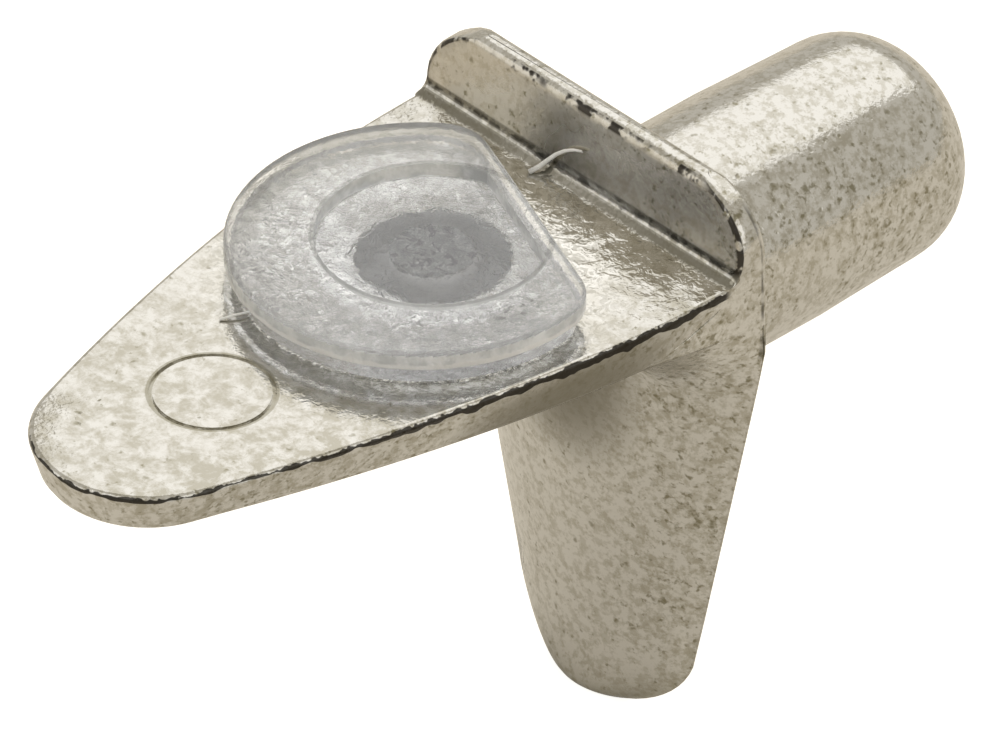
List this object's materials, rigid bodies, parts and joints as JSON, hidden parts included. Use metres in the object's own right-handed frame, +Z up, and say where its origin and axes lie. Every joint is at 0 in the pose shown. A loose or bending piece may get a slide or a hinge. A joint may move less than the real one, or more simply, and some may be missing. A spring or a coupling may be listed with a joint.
{
  "type": "shelf support pin",
  "caption": "Die-cast shelf support: a round pin with a domed nose, a backing flange with a tapering leg, and a tongue-shaped plate that carries a clear round pad with one flat side.",
  "frame": {"origin": "on the pin's axis, in the plane of the panel's face that the flange bears on", "axes": "+Y along the pin into the panel, +Z up, the shelf plate reaches out along -Y, X across"},
  "size_m": [0.0092, 0.0231, 0.0138],
  "materials": {
    "nickel": "nickel-plated zinc die-casting, bright on the plate's top, satin and finely pitted elsewhere",
    "clear_pad": "clear moulded plastic, slightly milky"
  },
  "bodies": {
    "root": {"support_body": "nickel", "pad": "clear_pad"}
  },
  "joints": []
}
